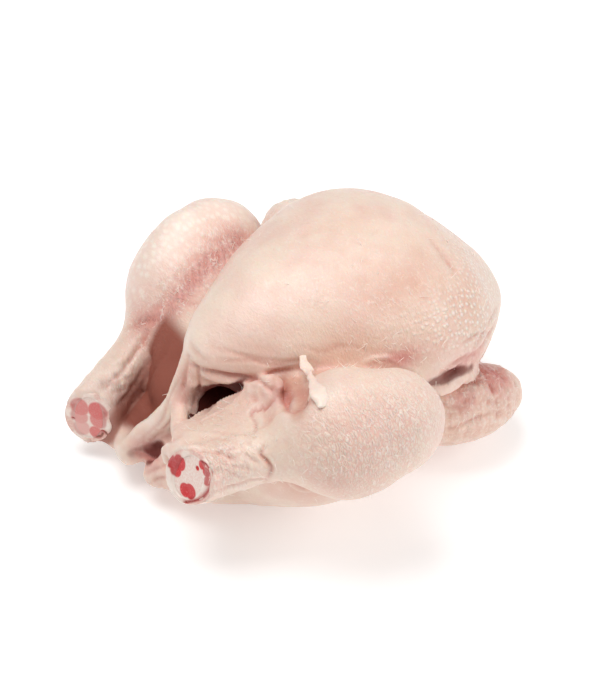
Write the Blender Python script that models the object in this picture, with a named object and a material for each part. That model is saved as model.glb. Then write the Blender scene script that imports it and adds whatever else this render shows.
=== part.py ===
"""A whole raw chicken, plucked and dressed, lying on its back with its legs untied.

Metres, +Z up. The tail points to -X, the neck end to +X, and the bird's left side to -Y.
The origin lies on the flat of the back, where the bird rests on the table.
The bird is one solid: skin and meat over the carcass, with the body cavity open at the vent.
The end of each shank is sawn off at the hock, and the leg bone shows there as its own solid.
"""

import bpy
import numpy as np
from mathutils import Matrix, Vector

# Driving dimensions of a broiler of about 1.5 kg.
BREAST_REACH = 0.162
BREAST_FRONT = 0.094
BREAST_HEIGHT = 0.113
BREAST_HALF_WIDTH = 0.063
DRUMSTICK_RADIUS = 0.0275
THIGH_RADIUS = 0.0295
BONE_SHAFT_RADIUS = 0.0042
BONE_GAP = 0.0003

# Where the joints lie, for the left leg (towards -Y) and the right leg, which hangs lower at the hock, and
# the way that the sawn face of each hock looks.
LEGS = {
    "left": {
        "hip": (-0.042, -0.025, 0.030), "knee": (-0.0165, -0.080, 0.0715),
        "hock": (-0.0935, -0.0425, 0.052), "sawn": (-0.965, -0.110, 0.245)},
    "right": {
        "hip": (-0.042, 0.026, 0.030), "knee": (-0.002, 0.0755, 0.0655),
        "hock": (-0.0925, 0.0455, 0.0235), "sawn": (-0.827, -0.555, 0.091)},
}
# The folded wings, from the elbow forward to the shoulder, as x, y, z, half width and half height.
WINGS = {
    "left": [
        (0.030, -0.048, 0.031, 0.012, 0.018), (0.042, -0.053, 0.030, 0.014, 0.022),
        (0.056, -0.052, 0.027, 0.015, 0.022), (0.070, -0.048, 0.023, 0.013, 0.018),
        (0.077, -0.046, 0.020, 0.009, 0.013)],
    "right": [
        (0.028, 0.062, 0.052, 0.012, 0.016), (0.038, 0.075, 0.056, 0.013, 0.018),
        (0.050, 0.071, 0.049, 0.014, 0.020), (0.064, 0.059, 0.037, 0.012, 0.018),
        (0.074, 0.050, 0.029, 0.008, 0.011)],
}

# The breast: distance back from the front as a share of its reach, then the underside, the widest level and
# the top as shares of its height, and the half width as a share of the widest.
BREAST_SECTIONS = [
    (0.000, 0.44, 0.51, 0.54, 0.08), (0.019, 0.39, 0.51, 0.61, 0.32), (0.069, 0.34, 0.55, 0.70, 0.52),
    (0.120, 0.30, 0.57, 0.78, 0.65), (0.170, 0.28, 0.58, 0.85, 0.76), (0.220, 0.28, 0.59, 0.915, 0.86),
    (0.300, 0.30, 0.59, 0.97, 0.96), (0.421, 0.32, 0.58, 1.00, 1.00), (0.572, 0.32, 0.58, 0.98, 0.87),
    (0.711, 0.34, 0.60, 0.94, 0.67), (0.849, 0.42, 0.63, 0.86, 0.43), (0.930, 0.51, 0.65, 0.78, 0.26),
    (0.970, 0.58, 0.66, 0.73, 0.14), (0.982, 0.62, 0.66, 0.69, 0.05)]

# The back and ribs below the breast, as x, underside, widest level, top and half width.
BACK_SECTIONS = [
    (0.084, 0.020, 0.034, 0.050, 0.006), (0.080, 0.010, 0.032, 0.056, 0.022),
    (0.068, 0.002, 0.030, 0.062, 0.035), (0.050, -0.005, 0.030, 0.066, 0.042),
    (0.020, -0.006, 0.030, 0.066, 0.045), (-0.010, -0.006, 0.030, 0.066, 0.045),
    (-0.032, -0.005, 0.028, 0.060, 0.040), (-0.040, 0.008, 0.028, 0.050, 0.020)]

# The hips and rump, as x, underside, widest level, top and half width.
RUMP_SECTIONS = [
    (-0.086, 0.016, 0.020, 0.024, 0.003), (-0.082, 0.010, 0.018, 0.028, 0.016),
    (-0.070, 0.006, 0.018, 0.034, 0.030), (-0.048, -0.004, 0.024, 0.046, 0.040),
    (-0.018, -0.006, 0.030, 0.060, 0.046), (0.004, 0.010, 0.034, 0.044, 0.010)]

# Half width of a drumstick from the knee (0) to the hock (1) and past the saw cut, as a share of its fullest.
DRUMSTICK_PROFILE = [
    (0.00, 0.83), (0.13, 0.97), (0.27, 1.00), (0.39, 0.87), (0.50, 0.60), (0.59, 0.43), (0.71, 0.40),
    (0.87, 0.44), (1.00, 0.47), (1.18, 0.48)]
# The same for a thigh, from the hip (0) to the knee (1).
THIGH_PROFILE = [(0.00, 0.88), (0.35, 1.00), (0.75, 0.85)]
# The same for a leg bone, from the knee (0) to the hock (1), as a share of its shaft.
BONE_PROFILE = [(0.28, 1.0), (0.50, 1.0), (0.70, 1.1), (0.88, 1.8), (1.20, 1.9)]
BONE_HEIGHT_OVER_WIDTH = 1.1
KNUCKLE_PINCH = -0.12

# The body cavity behind the vent, as x, y, z, half width and half height.
CAVITY = [
    (-0.094, 0.002, 0.046, 0.012, 0.011), (-0.074, -0.002, 0.047, 0.014, 0.014),
    (-0.056, -0.003, 0.046, 0.018, 0.015), (-0.030, 0.000, 0.044, 0.030, 0.022),
    (0.005, 0.000, 0.044, 0.034, 0.027), (0.040, 0.000, 0.046, 0.026, 0.022)]

# Folds of loose skin, each as x, y, z, half width and half thickness.
SKIN_FOLDS = {
    "vent_fold": [
        (-0.062, 0.005, 0.074, 0.005, 0.006), (-0.070, 0.006, 0.060, 0.004, 0.006),
        (-0.076, 0.009, 0.044, 0.004, 0.006), (-0.082, 0.016, 0.030, 0.005, 0.006),
        (-0.087, 0.020, 0.019, 0.006, 0.007), (-0.080, 0.034, 0.014, 0.007, 0.008)],
    "vent_fat": [
        (-0.059, -0.001, 0.067, 0.005, 0.005), (-0.062, -0.003, 0.059, 0.005, 0.005),
        (-0.067, -0.004, 0.050, 0.004, 0.004)],
    "neck_skin": [
        (0.080, 0.000, 0.050, 0.014, 0.008), (0.083, 0.000, 0.033, 0.016, 0.006),
        (0.077, 0.000, 0.015, 0.019, 0.006), (0.060, 0.000, 0.004, 0.024, 0.006)],
    "right_flank": [
        (-0.050, 0.036, 0.016, 0.016, 0.018), (-0.070, 0.038, 0.014, 0.012, 0.012),
        (-0.079, 0.039, 0.012, 0.009, 0.009)],
    "tail": [
        (-0.068, 0.002, 0.018, 0.014, 0.009), (-0.077, 0.002, 0.016, 0.010, 0.007),
        (-0.084, 0.002, 0.015, 0.007, 0.005)],
}

# The flap of belly skin below the vent, as x, y, z of its free edge, the same of its edge at the left leg,
# and its half thickness.
FLANK_FLAP = [
    (-0.086, -0.012, 0.042, -0.090, -0.032, 0.054, 0.002),
    (-0.079, -0.010, 0.046, -0.084, -0.038, 0.060, 0.004),
    (-0.068, -0.012, 0.052, -0.073, -0.048, 0.064, 0.004),
    (-0.060, -0.016, 0.057, -0.064, -0.052, 0.066, 0.005),
    (-0.051, -0.022, 0.063, -0.055, -0.052, 0.067, 0.006),
    (-0.042, -0.027, 0.066, -0.046, -0.048, 0.069, 0.006),
    (-0.037, -0.033, 0.069, -0.040, -0.044, 0.070, 0.003)]

SKIN_VOXEL = 0.0025
CREASE_SMOOTHING = 6
SHARE_OF_FACES_KEPT = 0.125
SAW_REACH = 0.024
TABLE_REACH = 0.25
BONE_RINGS = 13
BONE_SIDES = 16
ROUND_END_DEGREES = [84, 70, 50, 25]

COLOURS = {"skin": (0.86, 0.66, 0.56, 1.0), "bone": (0.80, 0.30, 0.27, 1.0)}


def clear_scene():
    for obj in list(bpy.data.objects):
        bpy.data.objects.remove(obj, do_unlink=True)


def through(rows, count):
    """Rows read off the Catmull-Rom curve that passes through the given rows."""
    rows = np.array(rows, float)
    padded = np.vstack([2 * rows[0] - rows[1], rows, 2 * rows[-1] - rows[-2]])
    at = np.linspace(0, len(rows) - 1, count)
    first = np.minimum(at.astype(int), len(rows) - 2)
    t = (at - first)[:, None]
    a, b, c, d = (padded[first + k] for k in range(4))
    return 0.5 * (2 * b + (c - a) * t + (2 * a - 5 * b + 4 * c - d) * t**2 + (3 * b - a - 3 * c + d) * t**3)


def unit(vectors):
    return vectors / np.linalg.norm(vectors, axis=-1, keepdims=True)


def section_rings(rows, count=30, sides=32):
    """Upright oval rings across X. A row is x, underside, widest level, top and half width."""
    rows = through(rows, count)
    x, underside, level, top, width = (rows[:, k, None] for k in range(5))
    turn = np.linspace(0, 2 * np.pi, sides, endpoint=False)[None]
    rise = np.where(np.sin(turn) > 0, top - level, level - underside)
    return np.stack([x + 0 * turn, width * np.cos(turn), level + rise * np.sin(turn)], axis=2)


def limb_rings(rows, count=20, sides=24, pinch=0.0):
    """Oval rings along a smooth path, rounded at both ends. A row is x, y, z, half width and half height.

    A pinch below 0 draws each ring in at its sides, towards an eight.
    """
    rows = through(rows, count)
    centres, radii = rows[:, :3], rows[:, 3:]
    along = unit(np.gradient(centres, axis=0))
    bulge = np.radians(ROUND_END_DEGREES)[:, None]
    start = centres[:1] - radii[0].min() * np.sin(bulge) * along[:1]
    end = centres[-1:] + radii[-1].min() * np.sin(bulge[::-1]) * along[-1:]
    narrowing = np.cos(bulge)
    steps = len(ROUND_END_DEGREES)
    along = np.vstack([np.repeat(along[:1], steps, 0), along, np.repeat(along[-1:], steps, 0)])
    centres = np.vstack([start, centres, end])
    radii = np.vstack([radii[:1] * narrowing, radii, radii[-1:] * narrowing[::-1]])
    side = unit(np.cross(along, [0, 0, 1.0]))
    up = np.cross(side, along)
    turn = np.linspace(0, 2 * np.pi, sides, endpoint=False)[None, :, None]
    swell = 1 + pinch * np.cos(2 * turn)
    across = swell * np.cos(turn) * radii[:, None, :1] * side[:, None]
    upward = swell * np.sin(turn) * radii[:, None, 1:] * up[:, None]
    return centres[:, None] + across + upward


def sheet_rings(rows, count=20, sides=24):
    """Flat oval rings between two edges. A row is x, y, z of each edge and half the thickness."""
    rows = through(rows, count)
    centres = (rows[:, :3] + rows[:, 3:6]) / 2
    half = (rows[:, 3:6] - rows[:, :3]) / 2
    normal = unit(np.cross(np.gradient(centres, axis=0), half)) * rows[:, 6:]
    turn = np.linspace(0, 2 * np.pi, sides, endpoint=False)[None, :, None]
    return centres[:, None] + np.cos(turn) * half[:, None] + np.sin(turn) * normal[:, None]


def closed_mesh(name, rings, collection):
    """A closed object: quads between neighbouring rings, and a fan of triangles over each end."""
    count, sides = rings.shape[:2]
    points = np.vstack([rings.reshape(-1, 3), rings[0].mean(0), rings[-1].mean(0)])
    here = np.arange((count - 1) * sides).reshape(count - 1, sides)
    after = np.roll(here, -1, axis=1)
    quads = np.stack([here, after, after + sides, here + sides], axis=2).reshape(-1, 4)
    first = np.arange(sides)
    last = first + (count - 1) * sides
    first_fan = np.stack([np.roll(first, -1), first, 0 * first + count * sides], axis=1)
    last_fan = np.stack([last, np.roll(last, -1), 0 * last + count * sides + 1], axis=1)
    mesh = bpy.data.meshes.new(name)
    mesh.from_pydata(points.tolist(), [], quads.tolist() + first_fan.tolist() + last_fan.tolist())
    mesh.update()
    outward = sum(face.center.dot(face.normal) * face.area for face in mesh.polygons)
    if outward < 0:
        mesh.flip_normals()
    obj = bpy.data.objects.new(name, mesh)
    collection.objects.link(obj)
    return obj


def helper_collection(name):
    collection = bpy.data.collections.new(name)
    bpy.context.scene.collection.children.link(collection)
    return collection


def between(start, end, share):
    return np.array(start) + (np.array(end) - np.array(start)) * share


def round_rows(start, end, profile, radius):
    """Rows of a round limb between two joints."""
    return [(*between(start, end, share), half * radius, half * radius) for share, half in profile]


def leg(side, collection):
    """The thigh from hip to knee, and the drumstick from knee to sawn hock."""
    joints = LEGS[side]
    thigh = round_rows(joints["hip"], joints["knee"], THIGH_PROFILE, THIGH_RADIUS)
    drumstick = round_rows(joints["knee"], joints["hock"], DRUMSTICK_PROFILE, DRUMSTICK_RADIUS)
    closed_mesh(side + "_thigh", limb_rings(thigh), collection)
    closed_mesh(side + "_drumstick", limb_rings(drumstick), collection)


def bone_rings(side, gap):
    """The leg bone, from its shaft near the knee to the two-lobed knuckle that shows at the hock."""
    joints = LEGS[side]
    rows = []
    for share, swell in BONE_PROFILE:
        radius = swell * BONE_SHAFT_RADIUS
        centre = between(joints["knee"], joints["hock"], share)
        rows.append((*centre, radius + gap, radius * BONE_HEIGHT_OVER_WIDTH + gap))
    return limb_rings(rows, BONE_RINGS, BONE_SIDES, KNUCKLE_PINCH)


def leg_bone(side, saws):
    """The bone, sawn off level with the hock."""
    bone = closed_mesh(side + "_leg_bone", bone_rings(side, 0), bpy.context.scene.collection)
    boolean(bone, "DIFFERENCE", saws)
    return bone


def boolean(obj, operation, collection):
    modifier = obj.modifiers.new(operation.lower() + " " + collection.name, "BOOLEAN")
    modifier.operation = operation
    modifier.operand_type = "COLLECTION"
    modifier.collection = collection


def block(name, face_centre, facing, reach, collection):
    """A block with one face centred on the given point, and the rest on the side that facing points to."""
    mesh = bpy.data.meshes.new(name)
    corners = [(reach * x, reach * y, reach * z) for z in (0, 2) for y in (-1, 1) for x in (-1, 1)]
    faces = [(0, 2, 3, 1), (4, 5, 7, 6), (0, 1, 5, 4), (1, 3, 7, 5), (3, 2, 6, 7), (2, 0, 4, 6)]
    mesh.from_pydata(corners, [], faces)
    mesh.transform(Vector(facing).to_track_quat("Z", "Y").to_matrix().to_4x4())
    mesh.transform(Matrix.Translation(face_centre))
    collection.objects.link(bpy.data.objects.new(name, mesh))


def material(name):
    made = bpy.data.materials.new(name)
    made.use_nodes = True
    surface = made.node_tree.nodes["Principled BSDF"]
    surface.inputs["Base Color"].default_value = COLOURS[name]
    surface.inputs["Roughness"].default_value = 0.4
    return made


def bird(limbs, cavities, folds, trims, saws):
    """The skin and meat as one solid: limbs joined to the breast, hollowed at the vent, creases smoothed."""
    shares = np.array(BREAST_SECTIONS)
    back = BREAST_FRONT - shares[:, :1] * BREAST_REACH
    rows = np.hstack([back, shares[:, 1:4] * BREAST_HEIGHT, shares[:, 4:] * BREAST_HALF_WIDTH])
    body = closed_mesh("bird", section_rings(rows), bpy.context.scene.collection)
    boolean(body, "UNION", limbs)
    boolean(body, "DIFFERENCE", cavities)
    boolean(body, "UNION", folds)
    skin = body.modifiers.new("one skin", "REMESH")
    skin.mode = "VOXEL"
    skin.voxel_size = SKIN_VOXEL
    smooth = body.modifiers.new("soft creases", "SMOOTH")
    smooth.iterations = CREASE_SMOOTHING
    decimate = body.modifiers.new("fewer faces", "DECIMATE")
    decimate.ratio = SHARE_OF_FACES_KEPT
    boolean(body, "DIFFERENCE", saws)
    boolean(body, "DIFFERENCE", trims)
    return body


def main():
    clear_scene()
    helpers = [helper_collection(name) for name in ("limbs", "cavities", "folds", "trims", "saws")]
    limbs, cavities, folds, trims, saws = helpers
    closed_mesh("back", section_rings(BACK_SECTIONS), limbs)
    closed_mesh("rump", section_rings(RUMP_SECTIONS), limbs)
    for side in LEGS:
        leg(side, limbs)
        closed_mesh(side + "_wing", limb_rings(WINGS[side]), limbs)
        closed_mesh(side + "_socket", bone_rings(side, BONE_GAP), trims)
        block(side + "_saw", LEGS[side]["hock"], LEGS[side]["sawn"], SAW_REACH, saws)
    closed_mesh("cavity", limb_rings(CAVITY), cavities)
    for name, rows in SKIN_FOLDS.items():
        closed_mesh(name, limb_rings(rows), folds)
    closed_mesh("flank_flap", sheet_rings(FLANK_FLAP), folds)
    block("table", (0, 0, 0), (0, 0, -1), TABLE_REACH, trims)
    skin, bone = material("skin"), material("bone")
    bird(*helpers).data.materials.append(skin)
    for side in LEGS:
        leg_bone(side, saws).data.materials.append(bone)
    for helper in [obj for collection in helpers for obj in collection.objects]:
        helper.hide_render = True
        helper.display_type = "WIRE"


main()
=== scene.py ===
"""A whole raw chicken, plucked and dressed, lying on its back with its legs untied."""

import math

import bmesh
import bpy
import numpy as np
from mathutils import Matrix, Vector


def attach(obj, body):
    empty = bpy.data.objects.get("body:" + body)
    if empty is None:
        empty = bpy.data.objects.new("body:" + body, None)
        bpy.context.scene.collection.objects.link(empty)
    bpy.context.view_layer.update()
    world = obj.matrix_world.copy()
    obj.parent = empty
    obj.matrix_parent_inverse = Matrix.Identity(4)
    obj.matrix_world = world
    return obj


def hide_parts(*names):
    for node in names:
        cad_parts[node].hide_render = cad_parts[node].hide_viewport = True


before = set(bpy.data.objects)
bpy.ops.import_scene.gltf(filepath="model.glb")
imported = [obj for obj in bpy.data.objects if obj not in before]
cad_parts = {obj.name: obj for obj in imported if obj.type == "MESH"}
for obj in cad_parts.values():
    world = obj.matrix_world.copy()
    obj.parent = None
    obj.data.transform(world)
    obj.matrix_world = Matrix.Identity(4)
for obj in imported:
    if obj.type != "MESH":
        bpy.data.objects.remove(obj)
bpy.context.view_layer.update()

# Skin and meat. The real bird is one soft body: thin, moist, loose skin over meat and fat, on a carcass that
# is drawn through the vent. It is lofted limb by limb, joined, hollowed, and then creased and wrinkled vertex
# by vertex.
LEGS = {
    "left": {
        "hip": (-0.042, -0.025, 0.030), "knee": (-0.0165, -0.080, 0.0715),
        "hock": (-0.0935, -0.0425, 0.052), "sawn": (-0.965, -0.110, 0.245)},
    "right": {
        "hip": (-0.042, 0.026, 0.030), "knee": (-0.002, 0.0755, 0.0655),
        "hock": (-0.0925, 0.0455, 0.0235), "sawn": (-0.827, -0.555, 0.091)},
}
# Round rows along a leg, each as share of the way to the next joint and share of the radius.
DRUMSTICK_ROWS = [
    (0.00, 0.83), (0.13, 0.97), (0.27, 1.00), (0.39, 0.87), (0.50, 0.60), (0.59, 0.43), (0.71, 0.40),
    (0.87, 0.44), (1.00, 0.47), (1.18, 0.48)]
DRUMSTICK_RADIUS = 0.0275
HOCK_RADIUS = 0.47 * DRUMSTICK_RADIUS
THIGH_ROWS = [(0.00, 0.88), (0.35, 1.00), (0.75, 0.85)]
THIGH_RADIUS = 0.0295
WINGS = {
    "left": [
        (0.030, -0.048, 0.031, 0.012, 0.017), (0.042, -0.053, 0.032, 0.014, 0.0185),
        (0.056, -0.052, 0.0295, 0.015, 0.0175), (0.070, -0.048, 0.0245, 0.013, 0.0125),
        (0.077, -0.046, 0.020, 0.009, 0.008)],
    "right": [
        (0.028, 0.062, 0.052, 0.012, 0.016), (0.038, 0.075, 0.056, 0.013, 0.018),
        (0.050, 0.071, 0.049, 0.014, 0.020), (0.064, 0.059, 0.037, 0.012, 0.018),
        (0.074, 0.050, 0.029, 0.008, 0.011)],
}
# Oval rows across X, each as x, underside, widest level, top and half width.
BREAST_ROWS = [
    (0.094, 0.050, 0.058, 0.061, 0.005), (0.091, 0.044, 0.058, 0.069, 0.020),
    (0.083, 0.038, 0.062, 0.079, 0.033), (0.0745, 0.034, 0.064, 0.088, 0.041),
    (0.0665, 0.032, 0.0655, 0.096, 0.048), (0.0585, 0.032, 0.0665, 0.1035, 0.054),
    (0.0455, 0.034, 0.0665, 0.1095, 0.0605), (0.026, 0.036, 0.0655, 0.113, 0.063),
    (0.0015, 0.036, 0.0655, 0.1105, 0.055), (-0.021, 0.0385, 0.068, 0.106, 0.042),
    (-0.0435, 0.0475, 0.071, 0.097, 0.027), (-0.0565, 0.0575, 0.0735, 0.088, 0.0165),
    (-0.063, 0.0655, 0.0745, 0.0825, 0.009), (-0.065, 0.070, 0.0745, 0.078, 0.003)]
BACK_ROWS = [
    (0.084, 0.020, 0.034, 0.050, 0.006), (0.080, 0.010, 0.032, 0.056, 0.022),
    (0.068, 0.002, 0.030, 0.062, 0.035), (0.050, -0.005, 0.030, 0.066, 0.042),
    (0.020, -0.006, 0.030, 0.066, 0.045), (-0.010, -0.006, 0.030, 0.066, 0.045),
    (-0.032, -0.005, 0.028, 0.060, 0.040), (-0.040, 0.008, 0.028, 0.050, 0.020)]
RUMP_ROWS = [
    (-0.086, 0.016, 0.020, 0.024, 0.003), (-0.082, 0.010, 0.018, 0.028, 0.016),
    (-0.070, 0.006, 0.018, 0.034, 0.030), (-0.048, -0.004, 0.024, 0.046, 0.040),
    (-0.018, -0.006, 0.030, 0.060, 0.046), (0.004, 0.010, 0.034, 0.044, 0.010)]
# Round rows along a path, each as x, y, z, half width and half height.
CAVITY_ROWS = [
    (-0.094, 0.002, 0.046, 0.012, 0.011), (-0.074, -0.002, 0.047, 0.014, 0.014),
    (-0.056, -0.003, 0.046, 0.018, 0.015), (-0.030, 0.000, 0.044, 0.030, 0.022),
    (0.005, 0.000, 0.044, 0.034, 0.027), (0.040, 0.000, 0.046, 0.026, 0.022)]
VENT_CORNER_ROWS = [
    (-0.061, -0.009, 0.060, 0.003, 0.003), (-0.057, -0.013, 0.0625, 0.004, 0.0038),
    (-0.053, -0.0175, 0.0655, 0.0034, 0.0030), (-0.0505, -0.0205, 0.067, 0.0018, 0.0018)]
WING_CREVICE_ROWS = [
    (0.019, -0.063, 0.061, 0.002, 0.0015), (0.026, -0.062, 0.0625, 0.003, 0.0022),
    (0.033, -0.061, 0.063, 0.003, 0.002), (0.041, -0.0585, 0.060, 0.002, 0.0016)]
SECOND_OPENING_ROWS = [
    (-0.094, 0.012, 0.023, 0.004, 0.0035), (-0.088, 0.009, 0.0235, 0.0055, 0.004),
    (-0.080, 0.005, 0.026, 0.004, 0.003)]
FOLDS = {
    "vent_fold": [
        (-0.060, 0.004, 0.074, 0.0045, 0.005), (-0.067, 0.004, 0.060, 0.0037, 0.005),
        (-0.073, 0.007, 0.044, 0.0037, 0.005), (-0.080, 0.015, 0.030, 0.0045, 0.0055),
        (-0.087, 0.020, 0.019, 0.006, 0.007), (-0.080, 0.034, 0.014, 0.007, 0.008)],
    "vent_fat": [
        (-0.063, 0.001, 0.071, 0.0035, 0.004), (-0.065, 0.000, 0.063, 0.0045, 0.004),
        (-0.068, 0.001, 0.056, 0.004, 0.004), (-0.071, 0.003, 0.048, 0.003, 0.003)],
    "lip_lobe_a": [(-0.060, -0.003, 0.0655, 0.0024, 0.0026), (-0.0615, -0.0045, 0.0605, 0.0026, 0.0028)],
    "lip_lobe_b": [(-0.064, -0.002, 0.059, 0.0026, 0.0028), (-0.0645, -0.0035, 0.0555, 0.0026, 0.0026)],
    "lip_lobe_c": [(-0.059, -0.0075, 0.0635, 0.0020, 0.0022), (-0.0595, -0.0085, 0.0605, 0.0022, 0.0022)],
    "lip_lobe_d": [(-0.0655, -0.0045, 0.0525, 0.0024, 0.0024), (-0.067, -0.005, 0.049, 0.0018, 0.0018)],
    "vent_corner_fold": [
        (-0.070, 0.003, 0.054, 0.0040, 0.0036), (-0.073, -0.002, 0.0515, 0.0042, 0.0036),
        (-0.076, -0.007, 0.0505, 0.0040, 0.0034), (-0.081, -0.012, 0.0505, 0.0030, 0.0030)],
    "flap_roll_a": [
        (-0.052, -0.025, 0.0685, 0.002, 0.002), (-0.048, -0.029, 0.0725, 0.0026, 0.0026),
        (-0.045, -0.034, 0.0755, 0.003, 0.003), (-0.045, -0.040, 0.0755, 0.0028, 0.0028),
        (-0.048, -0.046, 0.0735, 0.002, 0.002)],
    "flap_roll_b": [
        (-0.056, -0.024, 0.0645, 0.0018, 0.0018), (-0.052, -0.030, 0.069, 0.0024, 0.0024),
        (-0.049, -0.036, 0.0725, 0.0026, 0.0026), (-0.049, -0.042, 0.072, 0.0024, 0.0024),
        (-0.053, -0.047, 0.0695, 0.0016, 0.0016)],
    "wing_ridge": [
        (0.026, -0.061, 0.0545, 0.0030, 0.0030), (0.033, -0.0615, 0.0575, 0.0036, 0.0034),
        (0.041, -0.059, 0.057, 0.0036, 0.0034), (0.047, -0.056, 0.055, 0.0026, 0.0026)],
    "hock_tissue": [
        (-0.089, -0.0290, 0.058, 0.0026, 0.0026), (-0.091, -0.0245, 0.0545, 0.0030, 0.0030),
        (-0.0925, -0.0220, 0.050, 0.0026, 0.0028), (-0.093, -0.0225, 0.045, 0.0016, 0.0020)],
    "neck_skin": [
        (0.080, 0.000, 0.050, 0.014, 0.008), (0.083, 0.000, 0.033, 0.016, 0.006),
        (0.077, 0.000, 0.015, 0.019, 0.006), (0.060, 0.000, 0.004, 0.024, 0.006)],
    "right_flank": [
        (-0.050, 0.036, 0.016, 0.016, 0.018), (-0.070, 0.038, 0.014, 0.012, 0.012),
        (-0.079, 0.039, 0.012, 0.009, 0.009)],
    "tail": [
        (-0.068, 0.002, 0.018, 0.014, 0.009), (-0.077, 0.002, 0.016, 0.010, 0.007),
        (-0.084, 0.002, 0.015, 0.007, 0.005)],
}
# The belly flap, each row as x, y, z of its free edge, the same of its edge at the left leg, and half
# thickness.
FLAP_ROWS = [
    (-0.086, -0.014, 0.053, -0.091, -0.031, 0.057, 0.0018),
    (-0.079, -0.012, 0.052, -0.085, -0.037, 0.061, 0.003),
    (-0.068, -0.012, 0.052, -0.073, -0.048, 0.064, 0.004),
    (-0.060, -0.016, 0.057, -0.064, -0.052, 0.066, 0.005),
    (-0.051, -0.022, 0.063, -0.055, -0.052, 0.067, 0.006),
    (-0.042, -0.027, 0.066, -0.046, -0.048, 0.069, 0.006),
    (-0.037, -0.033, 0.069, -0.040, -0.044, 0.070, 0.003)]
POCKET_ROWS = [
    (-0.040, -0.037, 0.076, 0.0040, 0.0040), (-0.044, -0.046, 0.081, 0.0065, 0.0055),
    (-0.049, -0.056, 0.086, 0.0065, 0.0060), (-0.054, -0.064, 0.087, 0.0040, 0.0050)]
SKIN_VOXEL = 0.0018
# The sawn face lies this far inside the rim of skin, and the saw block reaches this far to each side of the
# leg.
CUT_INSET = 0.0015
SAW_REACH = 0.024
# The rim of skin round each sawn face: its share of the shank's radius, how far it stands back from the cut,
# and its own radius.
RIM_SHARE = 0.93
RIM_INSET = 0.0012
RIM_RADIUS = 0.0018


def through(rows, count):
    """Rows read off the Catmull-Rom curve through the given rows, evenly in its parameter."""
    rows = np.array(rows, float)
    padded = np.vstack([2 * rows[0] - rows[1], rows, 2 * rows[-1] - rows[-2]])
    at = np.linspace(0, len(rows) - 1, count)
    first = np.minimum(at.astype(int), len(rows) - 2)
    t = (at - first)[:, None]
    a, b, c, d = (padded[first + k] for k in range(4))
    return 0.5 * (2 * b + (c - a) * t + (2 * a - 5 * b + 4 * c - d) * t**2 + (3 * b - a - 3 * c + d) * t**3)


def unit(vectors):
    return vectors / np.maximum(np.linalg.norm(vectors, axis=-1, keepdims=True), 1e-12)


def full_turn(count):
    """Angles evenly round a full circle."""
    return np.linspace(0, 2 * np.pi, count, endpoint=False)


def read_all(items, name, width, kind=float):
    """One property of every vertex, edge or face of a mesh, as an array with a row for each."""
    values = np.empty(len(items) * width, kind)
    items.foreach_get(name, values)
    return values.reshape(-1, width)


def oval_loft(rows, count=60, sides=72):
    """Rings across X: y = half width * cos t, z = widest level + rise * sin t, with the rise to the top above
    it and to the underside below it."""
    rows = through(rows, count)
    x, underside, level, top, width = (rows[:, k, None] for k in range(5))
    turn = full_turn(sides)[None]
    rise = np.where(np.sin(turn) > 0, top - level, level - underside)
    return np.stack([x + 0 * turn, width * np.cos(turn), level + rise * np.sin(turn)], axis=2)


def limb_loft(rows, count=40, sides=40):
    """An ellipse carried along a smooth path, square to it, with both ends closing as quarter ellipses."""
    rows = through(rows, count)
    centres, radii = rows[:, :3], rows[:, 3:]
    along = unit(np.gradient(centres, axis=0))
    bulge = np.radians([88, 78, 65, 50, 34, 17])[:, None]
    steps = len(bulge)
    start = centres[:1] - radii[0].min() * np.sin(bulge) * along[:1]
    end = centres[-1:] + radii[-1].min() * np.sin(bulge[::-1]) * along[-1:]
    along = np.vstack([np.repeat(along[:1], steps, 0), along, np.repeat(along[-1:], steps, 0)])
    centres = np.vstack([start, centres, end])
    radii = np.vstack([radii[:1] * np.cos(bulge), radii, radii[-1:] * np.cos(bulge[::-1])])
    side = unit(np.cross(along, [0, 0, 1.0]))
    up = np.cross(side, along)
    turn = full_turn(sides)[None, :, None]
    return centres[:, None] + np.cos(turn) * radii[:, None, :1] * side[:, None] \
        + np.sin(turn) * radii[:, None, 1:] * up[:, None]


def sheet_loft(rows, count=40, sides=40):
    """A flat oval between two edges: middle + cos t * half the gap + sin t * thickness along the sheet's
    normal."""
    rows = through(rows, count)
    centres = (rows[:, :3] + rows[:, 3:6]) / 2
    half = (rows[:, 3:6] - rows[:, :3]) / 2
    normal = unit(np.cross(np.gradient(centres, axis=0), half)) * rows[:, 6:]
    turn = full_turn(sides)[None, :, None]
    return centres[:, None] + np.cos(turn) * half[:, None] + np.sin(turn) * normal[:, None]


def add_object(name, data):
    """A new object in the scene."""
    made = bpy.data.objects.new(name, data)
    bpy.context.scene.collection.objects.link(made)
    return made


def put_in_scene(name, points, faces):
    """A mesh object at the origin with its faces turned outward, told by the sign of the volume they
    enclose."""
    mesh = bpy.data.meshes.new(name)
    mesh.from_pydata(points.tolist(), [], faces)
    mesh.update()
    middles, normals = (read_all(mesh.polygons, measure, 3) for measure in ("center", "normal"))
    if ((middles * normals).sum(1) * read_all(mesh.polygons, "area", 1)[:, 0]).sum() < 0:
        mesh.flip_normals()
    return add_object(name, mesh)


def closed_loft(name, rings):
    """Quads between neighbouring rings, and a fan to the middle of each end ring."""
    count, sides = rings.shape[:2]
    points = np.vstack([rings.reshape(-1, 3), rings[0].mean(0), rings[-1].mean(0)])
    here = np.arange((count - 1) * sides).reshape(count - 1, sides)
    after = np.roll(here, -1, axis=1)
    quads = np.stack([here, after, after + sides, here + sides], axis=2).reshape(-1, 4)
    first = np.arange(sides)
    last = first + (count - 1) * sides
    first_fan = np.stack([np.roll(first, -1), first, 0 * first + count * sides], axis=1)
    last_fan = np.stack([last, np.roll(last, -1), 0 * last + count * sides + 1], axis=1)
    return put_in_scene(name, points, quads.tolist() + first_fan.tolist() + last_fan.tolist())


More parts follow.
